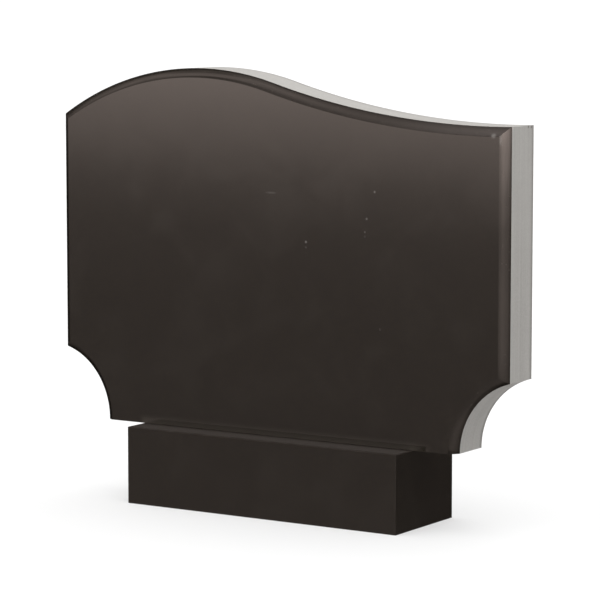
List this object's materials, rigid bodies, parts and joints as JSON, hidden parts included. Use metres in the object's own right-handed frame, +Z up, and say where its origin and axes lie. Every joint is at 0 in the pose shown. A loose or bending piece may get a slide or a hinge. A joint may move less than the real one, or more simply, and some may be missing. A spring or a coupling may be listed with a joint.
{
  "type": "headstone",
  "caption": "Blank upright headstone with a wave-shaped top, scooped lower corners and a bevelled front edge, standing on a low rectangular plinth.",
  "frame": {"origin": "middle of the plinth's underside, on the ground", "axes": "+X along the width, to the right seen from the front, +Y from the front to the back, +Z up"},
  "size_m": [1, 0.21, 0.8443],
  "materials": {
    "polished_stone": "dark warm grey-black polished stone on the front and its bevel, light grey sawn stone on the top, sides, scoops and back",
    "plinth_stone": "dark warm grey-black stone, polished on every face that shows"
  },
  "bodies": {
    "root": {"slab": "polished_stone", "plinth": "plinth_stone"}
  },
  "joints": []
}
